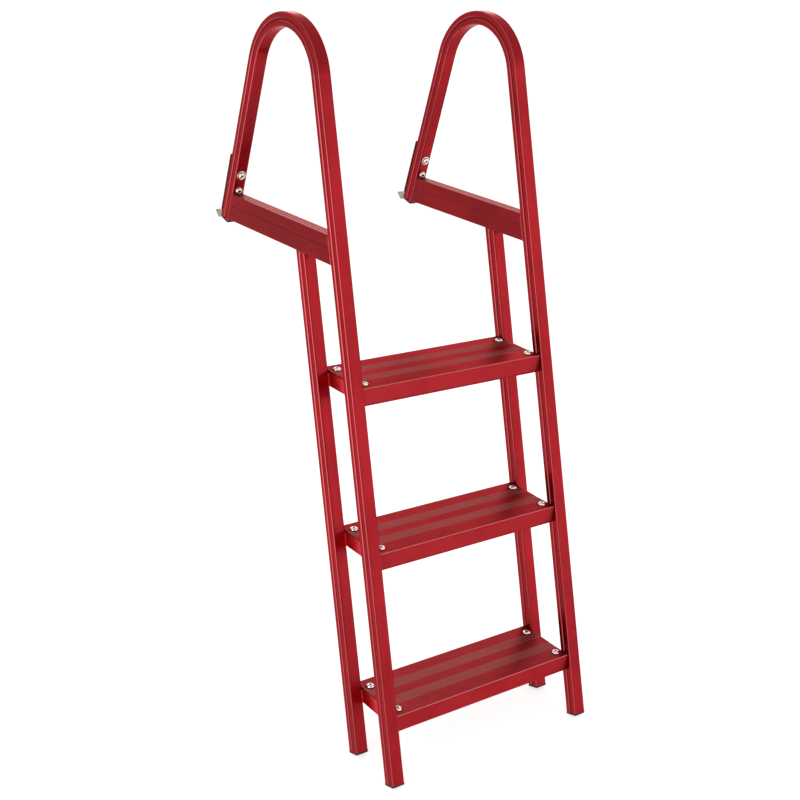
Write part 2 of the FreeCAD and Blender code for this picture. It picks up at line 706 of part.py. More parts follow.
document.recompute()
for item in document.Objects:
    if "Invalid" in item.State or "Error" in item.State:
        raise ValueError(item.Label + " did not build: " + str(item.State))
for piece in pieces:
    if piece.Shape.isNull() or not piece.Shape.isValid():
        raise ValueError(piece.Label + " has no valid shape")

os.makedirs("parts", exist_ok=True)
for piece in pieces:
    piece.Shape.exportStep(os.path.join("parts", piece.Label + ".step"))
    extent = piece.Shape.BoundBox
    print("%-24s %d solid(s)  x %7.1f %7.1f  y %7.1f %7.1f  z %7.1f %7.1f  volume %9.0f" % (
        piece.Label, len(piece.Shape.Solids), extent.XMin, extent.XMax,
        extent.YMin, extent.YMax, extent.ZMin, extent.ZMax, piece.Shape.Volume))
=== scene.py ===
import math
import random

import bmesh
import bpy
from mathutils import Matrix, Vector


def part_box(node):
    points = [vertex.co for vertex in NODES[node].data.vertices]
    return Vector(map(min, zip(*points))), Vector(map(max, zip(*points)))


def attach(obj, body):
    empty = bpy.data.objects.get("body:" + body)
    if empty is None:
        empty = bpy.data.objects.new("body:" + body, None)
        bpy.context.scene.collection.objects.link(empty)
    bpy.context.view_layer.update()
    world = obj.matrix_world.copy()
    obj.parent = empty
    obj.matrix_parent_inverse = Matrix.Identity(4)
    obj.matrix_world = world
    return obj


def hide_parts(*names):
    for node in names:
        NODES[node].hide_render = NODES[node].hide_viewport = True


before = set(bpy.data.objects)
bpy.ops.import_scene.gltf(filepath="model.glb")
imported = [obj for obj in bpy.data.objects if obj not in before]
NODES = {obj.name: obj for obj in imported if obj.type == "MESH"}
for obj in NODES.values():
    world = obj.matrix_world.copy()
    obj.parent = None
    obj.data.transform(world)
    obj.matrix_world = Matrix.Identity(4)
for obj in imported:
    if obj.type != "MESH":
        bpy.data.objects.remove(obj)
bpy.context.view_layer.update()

# Looks of a red dock ladder: anodised rails and treads, weld beads, socket
# bolts, washers, black caps, hanging plates and hook lugs.
# Metres, in the row frame: +X to the right, +Y towards the dock, +Z up.

MM = 0.001
LEAN = math.radians(15.5)
ALONG_RAIL = Vector((0, math.sin(LEAN), math.cos(LEAN)))
BEHIND_RAIL = Vector((0, math.cos(LEAN), -math.sin(LEAN)))
ALONG_LEG = Vector((0, -math.sin(LEAN), math.cos(LEAN)))
BEHIND_LEG = Vector((0, math.cos(LEAN), math.sin(LEAN)))
ACROSS = Vector((1, 0, 0))
BACK = Vector((0, 1, 0))
UP = Vector((0, 0, 1))

SIDES = ("left", "right")
STEPS = ("lower", "middle", "upper")


def low(node):
    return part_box(node)[0]


def high(node):
    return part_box(node)[1]


def middle(node):
    return (low(node) + high(node)) / 2


RAIL_SIZE = high("left_handrail").x - low("left_handrail").x
RAIL_CORNER = 4 * MM
HOOP_RADIUS = 126 * MM              # outside radius of the hoop
PLATE_THICKNESS = 3 * MM
LEG_FRONT = -(PLATE_THICKNESS + RAIL_SIZE)      # from the plate's back face
LADDER_MIDDLE_X = (middle("left_handrail").x + middle("right_handrail").x) / 2

# The hoop's centre lies one radius in from the leg's back face, and one below
# the hoop's top.
HOOP_Z = high("left_handrail").z - HOOP_RADIUS
HOOP_Y = -(HOOP_RADIUS + PLATE_THICKNESS + HOOP_Z * math.sin(LEAN)) / math.cos(LEAN)
HOOP_CENTRE = Vector((0, HOOP_Y, HOOP_Z))


# Node helpers: each takes the material, or the world, whose nodes it makes

def new_material(name):
    material = bpy.data.materials.new(name)
    material.use_nodes = True
    return material


def shader_of(material):
    return material.node_tree.nodes["Principled BSDF"]


def feed(material, socket, value):
    """Links a socket to an input, or sets the input to a plain value."""
    if isinstance(value, bpy.types.NodeSocket):
        material.node_tree.links.new(value, socket)
    else:
        socket.default_value = value


def calculate(material, operation, first, second=0.0, third=0.0):
    node = material.node_tree.nodes.new("ShaderNodeMath")
    node.operation = operation
    for socket, value in zip(node.inputs, (first, second, third)):
        feed(material, socket, value)
    return node.outputs["Value"]


def object_point(material):
    """Place in the row frame, since every piece's object sits at the origin."""
    return material.node_tree.nodes.new("ShaderNodeTexCoord").outputs["Object"]


def component(material, point, direction):
    node = material.node_tree.nodes.new("ShaderNodeVectorMath")
    node.operation = "DOT_PRODUCT"
    feed(material, node.inputs[0], point)
    feed(material, node.inputs[1], direction)
    return node.outputs["Value"]


def past(material, point, direction, start):
    """How far a point lies past a start, along a direction."""
    return calculate(material, "SUBTRACT", component(material, point, direction), start)


def combine(material, x, y, z):
    node = material.node_tree.nodes.new("ShaderNodeCombineXYZ")
    for socket, value in zip(node.inputs, (x, y, z)):
        feed(material, socket, value)
    return node.outputs["Vector"]


def noise(material, point, scale, detail=2.0, roughness=0.5):
    node = material.node_tree.nodes.new("ShaderNodeTexNoise")
    feed(material, node.inputs["Vector"], point)
    node.inputs["Scale"].default_value = scale
    node.inputs["Detail"].default_value = detail
    node.inputs["Roughness"].default_value = roughness
    return node.outputs["Fac"]


def spread(material, value, start, stop, first=0.0, last=1.0):
    """Maps a value smoothly from one range to another."""
    node = material.node_tree.nodes.new("ShaderNodeMapRange")
    node.interpolation_type = "SMOOTHSTEP"
    feed(material, node.inputs["Value"], value)
    node.inputs["From Min"].default_value = start
    node.inputs["From Max"].default_value = stop
    node.inputs["To Min"].default_value = first
    node.inputs["To Max"].default_value = last
    return node.outputs["Result"]


def band_share(material, value, start, stop, soft):
    """1 where a value lies between two limits, with soft ends."""
    rising = spread(material, value, start - soft, start + soft)
    falling = spread(material, value, stop - soft, stop + soft, 1.0, 0.0)
    return calculate(material, "MULTIPLY", rising, falling)


def blend_colours(material, share, first, second):
    node = material.node_tree.nodes.new("ShaderNodeMix")
    node.data_type = "RGBA"
    feed(material, node.inputs["Factor"], share)
    feed(material, node.inputs["A"], first)
    feed(material, node.inputs["B"], second)
    return node.outputs["Result"]


def bump(material, height, distance, strength=1.0, normal=None):
    node = material.node_tree.nodes.new("ShaderNodeBump")
    feed(material, node.inputs["Height"], height)
    node.inputs["Distance"].default_value = distance
    node.inputs["Strength"].default_value = strength
    if normal is not None:
        feed(material, node.inputs["Normal"], normal)
    return node.outputs["Normal"]


def facing(material, direction):
    """Cosine between the surface's normal and a direction."""
    geometry = material.node_tree.nodes.new("ShaderNodeNewGeometry")
    return component(material, geometry.outputs["Normal"], direction)


def length_of(material, first, second):
    """Length of the diagonal over two distances."""
    squares = calculate(material, "ADD", calculate(material, "MULTIPLY", first, first),
                        calculate(material, "MULTIPLY", second, second))
    return calculate(material, "SQRT", squares)


def rounded_normal(material, radius):
    """Normal that rolls over sharp edges, as a broken edge does."""
    node = material.node_tree.nodes.new("ShaderNodeBevel")
    node.samples = 4
    node.inputs["Radius"].default_value = radius
    return node.outputs["Normal"]


def edge_wear(material, radius, point, patch_scale):
    """Worn share of the surface: 1 on edges, broken up into patches."""
    geometry = material.node_tree.nodes.new("ShaderNodeNewGeometry")
    flatness = component(material, rounded_normal(material, radius), geometry.outputs["Normal"])
    edge = spread(material, flatness, 0.99, 0.80)
    patches = spread(material, noise(material, point, patch_scale, 3.0), 0.35, 0.65)
    return calculate(material, "MULTIPLY", edge, patches)


# Materials

SLOW = 0.02                         # how slowly die lines change along a piece
GROOVE_MOUTH = 6.5 * MM             # width of the groove along each rail's sides
GROOVE_DEPTH = 1.6 * MM
GROOVE_SOFT = 0.3 * MM              # over which the painted shade of a groove's floor fades
WEAR_AND_HIGHLIGHT_SHARE = 0.35                   # of the worn red on edges, and of the painted highlight on rounded corners
RAIL_OFFSET = (middle("right_handrail").x - middle("left_handrail").x) / 2

RED = (0.295, 0.0085, 0.0135, 1)
DEEP_RED = (0.225, 0.0055, 0.0090, 1)
# Pale red of worn edges, also laid on rounded corners as a painted highlight
WORN_AND_HIGHLIGHT_RED = (0.560, 0.120, 0.125, 1)
# Painted shade on the floors of the rails' grooves
GROOVE_SHADE_RED = (0.095, 0.0008, 0.0016, 1)
TREAD_RED = (0.345, 0.0215, 0.0270, 1)
DEEP_TREAD_RED = (0.295, 0.0160, 0.0205, 1)
# Painted shade: the treads' tops darker than their sides
TREAD_TOP_SHADE_RED = (0.225, 0.0260, 0.0300, 1)
# Rubbed grey of rib crests and worn tread edges, on the ribs partly a painted sheen
RIB_WEAR_AND_SHEEN_RED = (0.360, 0.1100, 0.1060, 1)
# Painted highlight along the treads' rounded noses
NOSE_HIGHLIGHT_RED = (0.620, 0.260, 0.260, 1)
# Painted shade round the tread bolts' heads
BOLT_SHADE = (0.035, 0.0050, 0.0060, 1)
BAR_RED = (0.235, 0.0080, 0.0120, 1)
DEEP_BAR_RED = (0.175, 0.0060, 0.0095, 1)
# Painted light: the cross tubes' red much lighter than the rails', for light on their recessed sides
LIT_TUBE_RED = (0.800, 0.0480, 0.0640, 1)
DEEP_LIT_TUBE_RED = (0.700, 0.0380, 0.0520, 1)
# Painted sheen on faces that look up
SHEEN_RED = (0.200, 0.0900, 0.0900, 1)
WELD_RED = (0.48, 0.050, 0.058, 1)

CAP_BLACK = (0.012, 0.012, 0.013, 1)
CAP_GREY = (0.024, 0.023, 0.023, 1)
SCUFFED_CAP = (0.050, 0.048, 0.047, 1)
PLATE_MAROON = (0.070, 0.018, 0.021, 1)
PLATE_BROWN = (0.130, 0.038, 0.042, 1)
DARK_CASTING = (0.330, 0.300, 0.255, 1)
PALE_CASTING = (0.500, 0.470, 0.420, 1)
RUBBED_CASTING = (0.72, 0.70, 0.66, 1)
WARM_STEEL = (0.70, 0.63, 0.56, 1)
BRIGHT_STEEL = (0.90, 0.83, 0.77, 1)
# Painted shade in the bolts' sockets, and round the heads on the washers
SOCKET_SHADE_BLACK = (0.010, 0.009, 0.009, 1)
SOCKET_SHADE_BROWN = (0.055, 0.050, 0.046, 1)


def upward_share(material):
    """1 on faces that look straight up, 0 on upright ones."""
    return spread(material, facing(material, UP), 0.80, 0.98)


def rail_depth(node):
    """Depth of a leaning rail's centre line, square to the rail."""
    foot = low(node) + UP * (RAIL_SIZE * math.sin(LEAN))
    return foot.dot(BEHIND_RAIL) + RAIL_SIZE / 2


def bent_depth(material, place):
    """Distance from the hoop's centre line that stays the same along the front
    rail, round the hoop and down its rear leg."""
    above = past(material, place, ALONG_RAIL, HOOP_CENTRE.dot(ALONG_RAIL))
    above = calculate(material, "MAXIMUM", above, 0.0)
    back = past(material, place, BEHIND_RAIL, HOOP_CENTRE.dot(BEHIND_RAIL))
    bend = length_of(material, above, back)
    leg = past(material, place, BEHIND_LEG, HOOP_CENTRE.dot(BEHIND_LEG))
    below_bend = calculate(material, "LESS_THAN", component(material, place, ALONG_LEG),
                           HOOP_CENTRE.dot(ALONG_LEG))
    on_leg = calculate(material, "MULTIPLY", below_bend,
                       calculate(material, "GREATER_THAN", back, 0.0))
    return calculate(material, "MULTIPLY_ADD", on_leg,
                     calculate(material, "SUBTRACT", leg, bend), bend)


def section_point(material, kind):
    """Coordinates that stay the same along an extruded piece, so that die lines
    run its whole length. The slow third one lets them come and go."""
    place = object_point(material)
    across = component(material, place, ACROSS)
    if kind == "tread":
        return combine(material, component(material, place, BACK), component(material, place, UP),
                       calculate(material, "MULTIPLY", across, SLOW))
    if kind == "level":
        run = component(material, place, BACK)
        return combine(material, across, component(material, place, UP),
                       calculate(material, "MULTIPLY", run, SLOW))
    run = calculate(material, "MULTIPLY", component(material, place, ALONG_RAIL), SLOW)
    if kind == "rail":
        return combine(material, across, component(material, place, BEHIND_RAIL), run)
    return combine(material, across, bent_depth(material, place), run)


def groove_shade_share(material, kind):
    """Share of the painted shade on the floors of the grooves along the rails' sides."""
    place = object_point(material)
    if kind == "handrail":
        depth = calculate(material, "SUBTRACT", bent_depth(material, place),
                          HOOP_RADIUS - RAIL_SIZE / 2)
    else:
        depth = past(material, place, BEHIND_RAIL, rail_depth("left_rear_rail"))
    inside = spread(material, calculate(material, "ABSOLUTE", depth),
                    GROOVE_MOUTH / 2, GROOVE_MOUTH / 2 + GROOVE_SOFT, 1.0, 0.0)
    across = past(material, place, ACROSS, LADDER_MIDDLE_X)
    across = calculate(material, "SUBTRACT", calculate(material, "ABSOLUTE", across), RAIL_OFFSET)
    sunk = calculate(material, "SUBTRACT", RAIL_SIZE / 2, calculate(material, "ABSOLUTE", across))
    return calculate(material, "MULTIPLY", inside,
                     spread(material, sunk, 0.70 * GROOVE_DEPTH, 0.92 * GROOVE_DEPTH))


def corner_highlight_share(material):
    """Share of the painted highlight on the rounded corners and sloping groove walls of an
    extrusion, picked by the way they face.
    """
    slope = calculate(material, "ABSOLUTE", facing(material, ACROSS))
    return band_share(material, slope, 0.50, 0.86, 0.06)


def anodised(name, kind, light, deep, sheen_level):
    """Satin red anodised extrusion: fine die lines, slow mottling, worn bright edges,
    a painted highlight on rounded corners, painted shade on the groove floors and
    a painted sheen on the faces that look up."""
    material = new_material(name)
    shader = shader_of(material)
    place = object_point(material)
    section = section_point(material, kind)
    lines = noise(material, section, 900, 3.0, 0.7)
    broad_lines = noise(material, section, 190, 2.0, 0.6)
    clouds = noise(material, place, 9, 4.0, 0.6)
    speckle = noise(material, place, 1400, 2.0, 0.6)

    tone = calculate(material, "ADD", calculate(material, "MULTIPLY", clouds, 0.75),
                     calculate(material, "MULTIPLY", broad_lines, 0.25))
    colour = blend_colours(material, spread(material, tone, 0.36, 0.64), deep, light)
    wear = edge_wear(material, 0.7 * MM, place, 60)
    wear = calculate(material, "MULTIPLY", wear, WEAR_AND_HIGHLIGHT_SHARE)
    colour = blend_colours(material, wear, colour, WORN_AND_HIGHLIGHT_RED)
    # Painted highlight on the rounded corners and sloping groove walls
    corners = calculate(material, "MULTIPLY", corner_highlight_share(material), WEAR_AND_HIGHLIGHT_SHARE)
    colour = blend_colours(material, corners, colour, WORN_AND_HIGHLIGHT_RED)
    if kind in ("handrail", "rail"):
        # Painted shade on the groove floors
        floors = calculate(material, "MULTIPLY", groove_shade_share(material, kind), 0.95)
        colour = blend_colours(material, floors, colour, GROOVE_SHADE_RED)
    # Painted sheen on the faces that look up
    sheen_film = calculate(material, "MULTIPLY", upward_share(material),
                     spread(material, clouds, 0.3, 0.7, 0.6 * sheen_level, sheen_level))
    colour = blend_colours(material, sheen_film, colour, SHEEN_RED)
    feed(material, shader.inputs["Base Color"], colour)

    rough = calculate(material, "ADD", spread(material, clouds, 0.3, 0.7, 0.28, 0.34),
                      spread(material, lines, 0.3, 0.7, -0.03, 0.04))
    feed(material, shader.inputs["Roughness"], rough)
    shader.inputs["Metallic"].default_value = 1.0
    shader.inputs["Specular Tint"].default_value = (1.0, 0.55, 0.55, 1)
    shader.inputs["Coat Weight"].default_value = 0.12
    shader.inputs["Coat Roughness"].default_value = 0.12

    surface = bump(material, lines, 0.012 * MM, 0.9, rounded_normal(material, 0.5 * MM))
    surface = bump(material, speckle, 0.006 * MM, 0.6, surface)
    feed(material, shader.inputs["Normal"], surface)
    return material


# Distances within a tread, which repeat from one tread to the next up the rails

TREAD_PITCH = (low("middle_tread") - low("lower_tread")).length
TREAD_EDGE = Vector((0, low("lower_tread").y, high("lower_tread").z))
TREAD_HEAD = 7.8 * MM               # radius of the tread bolts' heads
BOLT_REACH = high("lower_tread_bolts").x - TREAD_HEAD - LADDER_MIDDLE_X
BOLTS_MIDDLE = middle("lower_tread_bolts").y - TREAD_EDGE.y
BOLTS_HALF_PITCH = high("lower_tread_bolts").y - TREAD_HEAD - middle("lower_tread_bolts").y
TREAD_REACH = 50 * MM               # more than any point of a tread lies below its front edge
RIB_BANDS = ((34 * MM, 57 * MM), (80 * MM, 103 * MM))
RIB_SOFT = 0.2 * MM                 # softened ends of the bands of ribs
RIB_CREST = 0.3 * MM                # half the depth of the grooves between ribs
BOLT_SHADE_START = 0.8 * MM              # out from a head's rim, where the painted shade begins to fade
BOLT_SHADE_STOP = 3.6 * MM               # and where it has gone


def tread_point(material):
    """Distance back from the tread's front edge, and height from its top."""
    place = object_point(material)
    climb = past(material, place, ALONG_RAIL, TREAD_EDGE.dot(ALONG_RAIL))
    climb = calculate(material, "WRAP", climb, TREAD_PITCH - TREAD_REACH, -TREAD_REACH)
    depth = past(material, place, BEHIND_RAIL, TREAD_EDGE.dot(BEHIND_RAIL))
    point = combine(material, 0.0, depth, climb)
    # The level and the upright direction, written in the leaning rail's frame
    flat = Vector((0, math.cos(LEAN), math.sin(LEAN)))
    rise = Vector((0, -math.sin(LEAN), math.cos(LEAN)))
    return component(material, point, flat), component(material, point, rise)


def bolt_shade_share(material, behind_edge):
    """Share of the painted shade round the tread's bolt heads."""
    place = object_point(material)
    across = past(material, place, ACROSS, LADDER_MIDDLE_X)
    across = calculate(material, "SUBTRACT", calculate(material, "ABSOLUTE", across), BOLT_REACH)
    back = calculate(material, "SUBTRACT", behind_edge, BOLTS_MIDDLE)
    back = calculate(material, "SUBTRACT", calculate(material, "ABSOLUTE", back), BOLTS_HALF_PITCH)
    distance = length_of(material, across, back)
    shade_ring = spread(material, distance, TREAD_HEAD + BOLT_SHADE_START, TREAD_HEAD + BOLT_SHADE_STOP, 1.0, 0.0)
    return calculate(material, "MULTIPLY", shade_ring, upward_share(material))


def tread_finish():
    """Duller red of the treads, with painted shade on their tops, rubbed grey
    and a painted sheen on the crests of the non-slip ribs, a painted highlight
    on the rounded noses, worn edges and painted shade round the bolts."""
    material = new_material("tread_red")
    shader = shader_of(material)
    place = object_point(material)
    section = section_point(material, "tread")
    lines = noise(material, section, 800, 3.0, 0.7)
    clouds = noise(material, place, 14, 4.0, 0.6)
    speckle = noise(material, place, 1100, 3.0, 0.7)
    colour = blend_colours(material, spread(material, clouds, 0.3, 0.7), DEEP_TREAD_RED, TREAD_RED)
    # Painted shade on the treads' tops
    top = calculate(material, "MULTIPLY", upward_share(material),
                    spread(material, clouds, 0.2, 0.8, 1.0, 0.88))
    colour = blend_colours(material, top, colour, TREAD_TOP_SHADE_RED)

    behind_edge, above_top = tread_point(material)
    ribs = 0.0
    for start, stop in RIB_BANDS:
        ribbed = band_share(material, behind_edge, start, stop, RIB_SOFT)
        ribs = calculate(material, "ADD", ribs, ribbed)
    crests = spread(material, above_top, -1.5 * RIB_CREST, -0.5 * RIB_CREST)
    # Rubbed grey on the crests of the ribs, partly a painted sheen
    rubbed = calculate(material, "MULTIPLY", calculate(material, "MULTIPLY", ribs, crests),
                       spread(material, clouds, 0.3, 0.7, 0.75, 1.0))
    colour = blend_colours(material, rubbed, colour, RIB_WEAR_AND_SHEEN_RED)
    # Painted highlight on the rounded noses
    nose_highlight = band_share(material, facing(material, UP), 0.40, 0.90, 0.10)
    nose_highlight = calculate(material, "MULTIPLY", nose_highlight, spread(material, speckle, 0.35, 0.60, 0.3, 0.9))
    colour = blend_colours(material, nose_highlight, colour, NOSE_HIGHLIGHT_RED)
    wear = edge_wear(material, 0.6 * MM, place, 80)
    wear = calculate(material, "MULTIPLY", wear, 0.5)
    colour = blend_colours(material, wear, colour, RIB_WEAR_AND_SHEEN_RED)
    # Painted shade round the bolt heads
    shade_ring = calculate(material, "MULTIPLY", bolt_shade_share(material, behind_edge),
                      spread(material, clouds, 0.3, 0.7, 0.75, 1.0))
    colour = blend_colours(material, shade_ring, colour, BOLT_SHADE)
    feed(material, shader.inputs["Base Color"], colour)

    rough = calculate(material, "ADD", spread(material, clouds, 0.3, 0.7, 0.38, 0.45),
                      spread(material, lines, 0.3, 0.7, -0.03, 0.04))
    feed(material, shader.inputs["Roughness"], rough)
    shader.inputs["Metallic"].default_value = 1.0
    shader.inputs["Specular Tint"].default_value = (1.0, 0.45, 0.45, 1)
    surface = bump(material, lines, 0.02 * MM, 0.8, rounded_normal(material, 0.4 * MM))
    surface = bump(material, speckle, 0.012 * MM, 0.7, surface)
    feed(material, shader.inputs["Normal"], surface)
    return material


def cap_plastic():
    """Black moulded plastic with a fine grain and scuffed edges."""
    material = new_material("black_cap_plastic")
    shader = shader_of(material)
    place = object_point(material)
    grain = noise(material, place, 900, 4.0, 0.65)
    clouds = noise(material, place, 40, 3.0)
    colour = blend_colours(material, spread(material, clouds, 0.3, 0.7), CAP_BLACK, CAP_GREY)
    wear = calculate(material, "MULTIPLY", edge_wear(material, 0.8 * MM, place, 200), 0.5)
    colour = blend_colours(material, wear, colour, SCUFFED_CAP)
    feed(material, shader.inputs["Base Color"], colour)
    feed(material, shader.inputs["Roughness"], spread(material, grain, 0.3, 0.7, 0.48, 0.62))
    shader.inputs["Specular IOR Level"].default_value = 0.25
    surface = bump(material, grain, 0.03 * MM, 0.8, rounded_normal(material, 0.8 * MM))
    feed(material, shader.inputs["Normal"], surface)
    return material


GROUND_SLOW = 0.03                  # how slowly the plates' grinding marks change along them


def plate_steel():
    """Dark steel strip with a maroon stain, ground along its length."""
    material = new_material("plate_steel")
    shader = shader_of(material)
    place = object_point(material)
    run = component(material, place, ALONG_LEG)
    brushed = combine(material, component(material, place, ACROSS),
                      component(material, place, BEHIND_LEG),
                      calculate(material, "MULTIPLY", run, GROUND_SLOW))
    lines = noise(material, brushed, 1500, 3.0, 0.7)
    stain = noise(material, place, 55, 4.0, 0.65)
    colour = blend_colours(material, spread(material, stain, 0.35, 0.68), PLATE_MAROON, PLATE_BROWN)
    feed(material, shader.inputs["Base Color"], colour)
    shader.inputs["Metallic"].default_value = 0.9
    feed(material, shader.inputs["Roughness"], spread(material, lines, 0.25, 0.75, 0.28, 0.46))
    surface = bump(material, lines, 0.02 * MM, 0.9, rounded_normal(material, 0.6 * MM))
    feed(material, shader.inputs["Normal"], surface)
    return material


def lug_casting():
    """Bare warm-grey casting with a sandy skin, rubbed bright on its edges."""
    material = new_material("lug_casting")
    shader = shader_of(material)
    place = object_point(material)
    sand = noise(material, place, 420, 5.0, 0.7)
    stain = noise(material, place, 70, 3.0, 0.6)
    colour = blend_colours(material, spread(material, stain, 0.3, 0.7), DARK_CASTING, PALE_CASTING)
    wear = edge_wear(material, 0.8 * MM, place, 150)
    colour = blend_colours(material, wear, colour, RUBBED_CASTING)
    feed(material, shader.inputs["Base Color"], colour)
    shader.inputs["Metallic"].default_value = 0.55
    feed(material, shader.inputs["Roughness"], spread(material, sand, 0.3, 0.7, 0.42, 0.62))
    surface = bump(material, sand, 0.12 * MM, 0.8, rounded_normal(material, 0.9 * MM))
    feed(material, shader.inputs["Normal"], surface)
    return material


def polished_steel():
    """Bright stainless of the bolts and washers, smeared and finely marked."""
    material = new_material("bolt_stainless")
    shader = shader_of(material)
    place = object_point(material)
    smear = noise(material, place, 260, 3.0)
    marks = noise(material, place, 2600, 2.0, 0.6)
    colour = blend_colours(material, spread(material, smear, 0.3, 0.7), WARM_STEEL, BRIGHT_STEEL)
    feed(material, shader.inputs["Base Color"], colour)
    shader.inputs["Metallic"].default_value = 1.0
    feed(material, shader.inputs["Roughness"], spread(material, smear, 0.3, 0.7, 0.16, 0.28))
    feed(material, shader.inputs["Normal"], bump(material, marks, 0.004 * MM, 0.6))
    return material


def socket_shade():
    """Painted shade: near-black in the bolts' sockets, and on the washers in a ring round the heads.
    """
    material = new_material("socket_painted_shade")
    shader = shader_of(material)
    place = object_point(material)
    blotches = noise(material, place, 900, 4.0, 0.7)
    colour = blend_colours(material, spread(material, blotches, 0.3, 0.7), SOCKET_SHADE_BLACK, SOCKET_SHADE_BROWN)
    feed(material, shader.inputs["Base Color"], colour)
    shader.inputs["Metallic"].default_value = 0.4
    feed(material, shader.inputs["Roughness"], spread(material, blotches, 0.3, 0.7, 0.5, 0.8))
    feed(material, shader.inputs["Normal"], bump(material, blotches, 0.05 * MM, 0.6))
    return material


def weld_finish():
    """Anodised weld metal, in patches brighter than the rails."""
    material = new_material("weld_red")
    shader = shader_of(material)
    place = object_point(material)
    clouds = noise(material, place, 220, 3.0, 0.6)
    colour = blend_colours(material, spread(material, clouds, 0.35, 0.65), RED, WELD_RED)
    feed(material, shader.inputs["Base Color"], colour)
    shader.inputs["Metallic"].default_value = 0.75
    shader.inputs["Coat Weight"].default_value = 0.3
    feed(material, shader.inputs["Roughness"], spread(material, clouds, 0.3, 0.7, 0.20, 0.32))
    feed(material, shader.inputs["Normal"], bump(material, clouds, 0.05 * MM, 0.5))
    return material


FINISHES = {
    "handrail": anodised("handrail_red", "handrail", RED, DEEP_RED, 0.0),
    "rail": anodised("rear_rail_red", "rail", RED, DEEP_RED, 0.0),
    "bar": anodised("deck_bar_red", "level", BAR_RED, DEEP_BAR_RED, 0.8),
    # The cross tubes' lighter red is painted light
    "tube": anodised("cross_tube_red", "level", LIT_TUBE_RED, DEEP_LIT_TUBE_RED, 0.0),
    "tread": tread_finish(),
    "cap": cap_plastic(),
    "plate": plate_steel(),
    "lug": lug_casting(),
    "steel": polished_steel(),
    "socket": socket_shade(),
    "weld": weld_finish(),
}
NODE_ENDINGS = {
    "_handrail": "handrail",
    "_rear_rail": "rail",
    "_deck_bar": "bar",
    "_cross_tube": "tube",
    "_tread": "tread",
    "_cap": "cap",
    "_mounting_plate": "plate",
    "_hook_lug": "lug",
    "_bolts": "steel",
    "_washers": "steel",
}


def finish_of(node):
    for ending, finish in NODE_ENDINGS.items():
        if node.endswith(ending):
            return FINISHES[finish]
    raise ValueError("no finish for " + node)


for name, node in NODES.items():
    node.data.materials.clear()
    node.data.materials.append(finish_of(name))


# Pieces that the scene makes

def add_piece(name, mesh, finishes, nodes=()):
    for polygon in mesh.polygons:
        polygon.use_smooth = True
    piece = bpy.data.objects.new(name, mesh)
    bpy.context.scene.collection.objects.link(piece)
    for finish in finishes:
        piece.data.materials.append(FINISHES[finish])
    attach(piece, "root")
    if nodes:
        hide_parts(*nodes)


def finish_mesh(mesh, name):
    """Turns a bmesh into mesh data, with its faces outward."""
    bmesh.ops.recalc_face_normals(mesh, faces=mesh.faces)
    data = bpy.data.meshes.new(name)
    mesh.to_mesh(data)
    mesh.free()
    return data


# Lathe-turned hardware

SEGMENTS = 48
RIM = 0.25 * MM                     # softened edges of heads and washers
DOME_STEPS = 12
HEAD_RIM = 0.18                     # share of a head's height that is its upright rim
SOCKET_WIDTH = 4.8 * MM             # across the flats of the hexagon socket
SOCKET_DEPTH = 2.4 * MM
LIP_WIDTH = 0.35 * MM               # of the chamfer round the socket's mouth
LIP_DEPTH = 0.3 * MM
DRILL_DEPTH = 2.9 * MM              # point of the cone at the socket's bottom
DRILL_RADIUS = 0.6 * MM
THREAD_PITCH = 1.0 * MM
THREAD_DEPTH = 0.45 * MM
PLAIN_NECK = 3 * MM
TIP_CHAMFER = 0.8 * MM


def ring(mesh, place, radius_at, height):
    """A ring of vertices about the local Z axis, put in place by a matrix."""
    corners = []
    for segment in range(SEGMENTS):
        angle = 2 * math.pi * segment / SEGMENTS
        radius = radius_at(angle)
        point = Vector((radius * math.cos(angle), radius * math.sin(angle), height))
        corners.append(mesh.verts.new(place @ point))
    return corners


def band(mesh, first, second, finish=0):
    """Faces between two rings."""
    for segment in range(SEGMENTS):
        following = (segment + 1) % SEGMENTS
        face = mesh.faces.new((first[segment], first[following], second[following], second[segment]))
        face.material_index = finish


def lid(mesh, corners, finish=0, flip=False):
    face = mesh.faces.new(corners[::-1] if flip else corners)
    face.material_index = finish


def hexagon(across_flats):
    """Radius of a hexagon at an angle."""
    def radius_at(angle):
        return across_flats / 2 / math.cos((angle % (math.pi / 3)) - math.pi / 6)
    return radius_at


def round_of(radius):
    return lambda angle: radius


def turned(mesh, place, profile):
    """Skins a list of (radius, height) pairs; returns the first and last rings."""
    rings = [ring(mesh, place, round_of(radius), height) for radius, height in profile]
    for first, second in zip(rings, rings[1:]):
        band(mesh, first, second)
    return rings[0], rings[-1]


def dome_profile(radius, height, mouth):
    """Button head, from its softened rim over a quarter oval to its socket's mouth."""
    rim = HEAD_RIM * height
    points = [(radius - RIM, 0.0), (radius, RIM), (radius, rim)]
    for step in range(1, DOME_STEPS + 1):
        turn = math.pi / 2 * step / DOME_STEPS
        points.append((mouth + (radius - mouth) * math.cos(turn),
                       rim + (height - rim) * math.sin(turn)))
    return points


def threaded_shank(mesh, place, radius, length):
    """Plain neck, then rings of thread, then a chamfered tip."""
    profile = [(radius, 0.0), (radius, -PLAIN_NECK)]
    height = -PLAIN_NECK
    while height - THREAD_PITCH > -length + THREAD_PITCH:
        profile.append((radius - THREAD_DEPTH, height - THREAD_PITCH / 2))
        profile.append((radius, height - THREAD_PITCH))
        height -= THREAD_PITCH
    profile.append((radius - TIP_CHAMFER, -length))
    top, tip = turned(mesh, place, profile[::-1])
    lid(mesh, top, flip=True)
    lid(mesh, tip)


